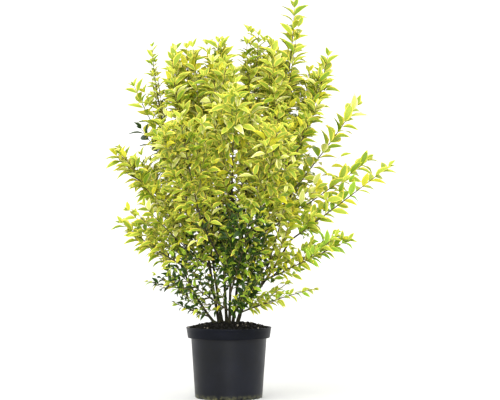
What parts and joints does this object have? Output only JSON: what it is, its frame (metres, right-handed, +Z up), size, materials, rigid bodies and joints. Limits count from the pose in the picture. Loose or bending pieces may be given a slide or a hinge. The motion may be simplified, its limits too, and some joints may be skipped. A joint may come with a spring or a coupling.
{
  "type": "potted golden privet",
  "caption": "Clump of upright stems with loose sprays of small yellow-edged leaves, growing from soil in a plain round black nursery pot; stands on the pot's flat underside.",
  "frame": {"origin": "centre of the pot's flat underside", "axes": "+Z up, +X to the right and +Y to the back, seen from the front of the pictured side"},
  "size_m": [0.7671, 0.5773, 1.0511],
  "materials": {
    "pot": "satin",
    "soil": "matte",
    "bark": "matte",
    "foliage_golden": "satin",
    "foliage_green": "satin"
  },
  "bodies": {
    "root": {"pot": "pot", "soil": "soil", "stem_left": "bark", "stem_far_left": "bark", "stem_middle": "bark", "stem_rear": "bark", "stem_back_left": "bark", "stem_right": "bark", "stem_front": "bark", "bough_upper_left": "bark", "bough_left_arm": "bark", "bough_far_right": "bark", "bough_upper_right": "bark", "bough_right": "bark", "bough_low_right": "bark", "bough_front_left": "bark", "bough_front_right": "bark", "bough_middle_front": "bark", "bough_rear_right": "bark", "bough_rear_left": "bark", "spray_top_left": "foliage_golden", "spray_left_shoulder": "foliage_golden", "spray_left_front": "foliage_golden", "spray_left_spire": "foliage_golden", "spray_left_upper": "foliage_golden", "spray_left_back": "foliage_golden", "spray_left_arm": "foliage_golden", "spray_left_skirt": "foliage_green", "spray_far_left": "foliage_green", "spray_low_left": "foliage_green", "spray_foot_left": "foliage_green", "spray_top_middle": "foliage_golden", "spray_upper_front": "foliage_golden", "spray_upper_rear": "foliage_golden", "spray_top_rear": "foliage_golden", "spray_rear_right": "foliage_golden", "spray_rear": "foliage_golden", "spray_back_left": "foliage_golden", "spray_rear_left": "foliage_golden", "spray_rear_skirt": "foliage_green", "spray_leader": "foliage_golden", "spray_second_leader": "foliage_golden", "spray_right_shoulder": "foliage_golden", "spray_right_spire": "foliage_golden", "spray_right_upper": "foliage_golden", "spray_right_reach": "foliage_golden", "spray_right_back": "foliage_golden", "spray_right_front": "foliage_golden", "spray_far_right": "foliage_golden", "spray_right_skirt": "foliage_golden", "spray_low_right": "foliage_green", "spray_foot_right": "foliage_green", "spray_front": "foliage_golden", "spray_front_right": "foliage_golden", "spray_front_left": "foliage_golden", "spray_front_skirt": "foliage_green", "spray_middle_front": "foliage_golden", "spray_middle_rear": "foliage_green", "spray_low_front_left": "foliage_green", "spray_low_front_right": "foliage_green"}
  },
  "joints": []
}
